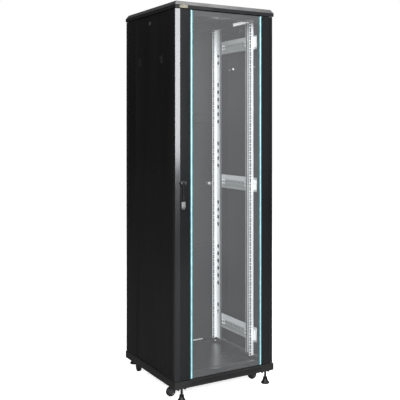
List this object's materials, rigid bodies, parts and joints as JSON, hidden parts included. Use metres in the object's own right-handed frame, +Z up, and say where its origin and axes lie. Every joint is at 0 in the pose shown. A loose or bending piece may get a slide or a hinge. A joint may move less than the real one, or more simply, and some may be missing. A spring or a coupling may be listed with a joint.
{
  "type": "network server rack cabinet",
  "caption": "Tall black floor-standing 19-inch network rack cabinet with a glass front door, swing handle, lift-off side panels, perforated mounting rails, castors and levelling feet",
  "frame": {"origin": "on the floor, under the middle of the cabinet body", "axes": "+Z up, the glass front door faces -Y, +X to the right of a person facing the door"},
  "size_m": [0.616, 0.632, 2.055],
  "materials": {
    "black_paint": "fine-textured black powder coat",
    "zinc": "galvanised and bright zinc steel",
    "bright_rail": "bright aluminium-zinc coated mounting rails",
    "glass": "clear grey toughened glass",
    "pale_trim": "pale translucent edge trim",
    "black_plastic": "moulded black plastic",
    "lock_metal": "satin nickel-plated lock and pin metal",
    "castor_rubber": "black castor tread"
  },
  "bodies": {
    "frame": {"base_frame": "black_paint", "top_frame": "black_paint", "roof_cover": "black_paint", "post_front_left": "black_paint", "rail_front_left": "bright_rail", "post_front_right": "black_paint", "rail_front_right": "bright_rail", "post_rear_left": "black_paint", "rail_rear_left": "bright_rail", "post_rear_right": "black_paint", "rail_rear_right": "bright_rail", "beam_lower_left": "zinc", "beam_lower_right": "zinc", "beam_middle_left": "zinc", "beam_middle_right": "zinc", "beam_upper_left": "zinc", "beam_upper_right": "zinc"},
    "front_door": {"front_door_left_strip": "black_paint", "front_door_right_strip": "black_paint", "front_door_bottom_rail": "black_paint", "front_door_top_rail": "black_paint", "front_door_glass": "glass", "glass_trim_left": "pale_trim", "glass_trim_right": "pale_trim", "front_hinge_pin_lower": "lock_metal", "front_hinge_pin_upper": "lock_metal", "handle_housing": "black_plastic", "handle_lock_cap": "lock_metal"},
    "handle_hub": {"handle_hub": "black_plastic", "handle_cam": "zinc"},
    "handle_lever": {"handle_lever": "black_plastic"},
    "key_cylinder": {"key_cylinder": "lock_metal"},
    "rear_door": {"rear_door": "black_paint", "rear_hinge_pin_lower": "lock_metal", "rear_hinge_pin_upper": "lock_metal"},
    "rear_lock": {"rear_lock": "lock_metal"},
    "side_panel_left": {"side_panel_left": "black_paint"},
    "side_latch_left_front": {"side_latch_left_front": "black_plastic"},
    "side_latch_left_rear": {"side_latch_left_rear": "black_plastic"},
    "side_lock_left": {"side_lock_left": "lock_metal"},
    "side_panel_right": {"side_panel_right": "black_paint"},
    "side_latch_right_front": {"side_latch_right_front": "black_plastic"},
    "side_latch_right_rear": {"side_latch_right_rear": "black_plastic"},
    "side_lock_right": {"side_lock_right": "lock_metal"},
    "castor_fork_front_left": {"castor_fork_front_left": "zinc"},
    "castor_wheel_front_left": {"castor_wheel_front_left": "castor_rubber"},
    "foot_pad_front_left": {"foot_pad_front_left": "black_plastic"},
    "foot_stud_front_left": {"foot_stud_front_left": "zinc"},
    "castor_fork_front_right": {"castor_fork_front_right": "zinc"},
    "castor_wheel_front_right": {"castor_wheel_front_right": "castor_rubber"},
    "foot_pad_front_right": {"foot_pad_front_right": "black_plastic"},
    "foot_stud_front_right": {"foot_stud_front_right": "zinc"},
    "castor_fork_rear_left": {"castor_fork_rear_left": "zinc"},
    "castor_wheel_rear_left": {"castor_wheel_rear_left": "castor_rubber"},
    "foot_pad_rear_left": {"foot_pad_rear_left": "black_plastic"},
    "foot_stud_rear_left": {"foot_stud_rear_left": "zinc"},
    "castor_fork_rear_right": {"castor_fork_rear_right": "zinc"},
    "castor_wheel_rear_right": {"castor_wheel_rear_right": "castor_rubber"},
    "foot_pad_rear_right": {"foot_pad_rear_right": "black_plastic"},
    "foot_stud_rear_right": {"foot_stud_rear_right": "zinc"}
  },
  "joints": [
    {"name": "front_door_swing", "type": "hinge", "parent": "frame", "child": "front_door", "pos_m": [0.293, -0.289, 0.11], "axis": [0, 0, 1], "range_deg": [0, 180]},
    {"name": "handle_turn", "type": "hinge", "parent": "front_door", "child": "handle_hub", "pos_m": [-0.266, -0.3215, 1.121], "axis": [0, -1, 0], "range_deg": [0, 90]},
    {"name": "lever_lift", "type": "hinge", "parent": "handle_hub", "child": "handle_lever", "pos_m": [-0.266, -0.3155, 1.121], "axis": [-1, 0, 0], "range_deg": [0, 60]},
    {"name": "key_turn", "type": "hinge", "parent": "front_door", "child": "key_cylinder", "pos_m": [-0.266, -0.3215, 1.007], "axis": [0, -1, 0], "range_deg": [0, 90]},
    {"name": "rear_door_swing", "type": "hinge", "parent": "frame", "child": "rear_door", "pos_m": [-0.293, 0.292, 0.11], "axis": [0, 0, 1], "range_deg": [0, 180]},
    {"name": "rear_lock_turn", "type": "hinge", "parent": "rear_door", "child": "rear_lock", "pos_m": [0.244, 0.302, 1.061], "axis": [0, 1, 0], "range_deg": [0, 90]},
    {"name": "side_panel_left_tilt", "type": "hinge", "parent": "frame", "child": "side_panel_left", "pos_m": [-0.304, 0, 0.11], "axis": [0, -1, 0], "range_deg": [0, 15]},
    {"name": "side_latch_left_front_slide", "type": "slide", "parent": "side_panel_left", "child": "side_latch_left_front", "axis": [0, 0, -1], "range_m": [0, 0.008], "stiffness_N_per_m": 150, "springref_m": -0.012},
    {"name": "side_latch_left_rear_slide", "type": "slide", "parent": "side_panel_left", "child": "side_latch_left_rear", "axis": [0, 0, -1], "range_m": [0, 0.008], "stiffness_N_per_m": 150, "springref_m": -0.012},
    {"name": "side_lock_left_turn", "type": "hinge", "parent": "side_panel_left", "child": "side_lock_left", "pos_m": [-0.3, 0, 1.972], "axis": [-1, 0, 0], "range_deg": [0, 90]},
    {"name": "side_panel_right_tilt", "type": "hinge", "parent": "frame", "child": "side_panel_right", "pos_m": [0.304, 0, 0.11], "axis": [0, 1, 0], "range_deg": [0, 15]},
    {"name": "side_latch_right_front_slide", "type": "slide", "parent": "side_panel_right", "child": "side_latch_right_front", "axis": [0, 0, -1], "range_m": [0, 0.008], "stiffness_N_per_m": 150, "springref_m": -0.012},
    {"name": "side_latch_right_rear_slide", "type": "slide", "parent": "side_panel_right", "child": "side_latch_right_rear", "axis": [0, 0, -1], "range_m": [0, 0.008], "stiffness_N_per_m": 150, "springref_m": -0.012},
    {"name": "side_lock_right_turn", "type": "hinge", "parent": "side_panel_right", "child": "side_lock_right", "pos_m": [0.3, 0, 1.972], "axis": [1, 0, 0], "range_deg": [0, 90]},
    {"name": "castor_front_left_swivel", "type": "hinge", "parent": "frame", "child": "castor_fork_front_left", "pos_m": [-0.257, -0.2, 0.066], "axis": [0, 0, 1], "continuous": true},
    {"name": "castor_front_left_roll", "type": "hinge", "parent": "castor_fork_front_left", "child": "castor_wheel_front_left", "pos_m": [-0.279, -0.2, 0.0275], "axis": [0, 1, 0], "continuous": true},
    {"name": "foot_front_left_lift", "type": "slide", "parent": "frame", "child": "foot_pad_front_left", "axis": [0, 0, -1], "range_m": [0, 0.02]},
    {"name": "foot_front_left_screw", "type": "hinge", "parent": "foot_pad_front_left", "child": "foot_stud_front_left", "pos_m": [-0.262, -0.288, 0.025], "axis": [0, 0, -1], "range_deg": [0, 4115]},
    {"name": "castor_front_right_swivel", "type": "hinge", "parent": "frame", "child": "castor_fork_front_right", "pos_m": [0.257, -0.2, 0.066], "axis": [0, 0, 1], "continuous": true},
    {"name": "castor_front_right_roll", "type": "hinge", "parent": "castor_fork_front_right", "child": "castor_wheel_front_right", "pos_m": [0.235, -0.2, 0.0275], "axis": [0, 1, 0], "continuous": true},
    {"name": "foot_front_right_lift", "type": "slide", "parent": "frame", "child": "foot_pad_front_right", "axis": [0, 0, -1], "range_m": [0, 0.02]},
    {"name": "foot_front_right_screw", "type": "hinge", "parent": "foot_pad_front_right", "child": "foot_stud_front_right", "pos_m": [0.262, -0.288, 0.025], "axis": [0, 0, -1], "range_deg": [0, 4115]},
    {"name": "castor_rear_left_swivel", "type": "hinge", "parent": "frame", "child": "castor_fork_rear_left", "pos_m": [-0.257, 0.215, 0.066], "axis": [0, 0, 1], "continuous": true},
    {"name": "castor_rear_left_roll", "type": "hinge", "parent": "castor_fork_rear_left", "child": "castor_wheel_rear_left", "pos_m": [-0.257, 0.237, 0.025], "axis": [1, 0, 0], "continuous": true},
    {"name": "foot_rear_left_lift", "type": "slide", "parent": "frame", "child": "foot_pad_rear_left", "axis": [0, 0, -1], "range_m": [0, 0.03]},
    {"name": "foot_rear_left_screw", "type": "hinge", "parent": "foot_pad_rear_left", "child": "foot_stud_rear_left", "pos_m": [-0.262, 0.288, 0.055], "axis": [0, 0, -1], "range_deg": [0, 6172]},
    {"name": "castor_rear_right_swivel", "type": "hinge", "parent": "frame", "child": "castor_fork_rear_right", "pos_m": [0.257, 0.215, 0.066], "axis": [0, 0, 1], "continuous": true},
    {"name": "castor_rear_right_roll", "type": "hinge", "parent": "castor_fork_rear_right", "child": "castor_wheel_rear_right", "pos_m": [0.257, 0.237, 0.025], "axis": [1, 0, 0], "continuous": true},
    {"name": "foot_rear_right_lift", "type": "slide", "parent": "frame", "child": "foot_pad_rear_right", "axis": [0, 0, -1], "range_m": [0, 0.03]},
    {"name": "foot_rear_right_screw", "type": "hinge", "parent": "foot_pad_rear_right", "child": "foot_stud_rear_right", "pos_m": [0.262, 0.288, 0.055], "axis": [0, 0, -1], "range_deg": [0, 6172]}
  ],
  "couplings": [
    {"joint": "foot_front_left_screw", "follows": "foot_front_left_lift", "rad_per_m": 3590.4},
    {"joint": "foot_front_right_screw", "follows": "foot_front_right_lift", "rad_per_m": 3590.4},
    {"joint": "foot_rear_left_screw", "follows": "foot_rear_left_lift", "rad_per_m": 3590.4},
    {"joint": "foot_rear_right_screw", "follows": "foot_rear_right_lift", "rad_per_m": 3590.4}
  ]
}
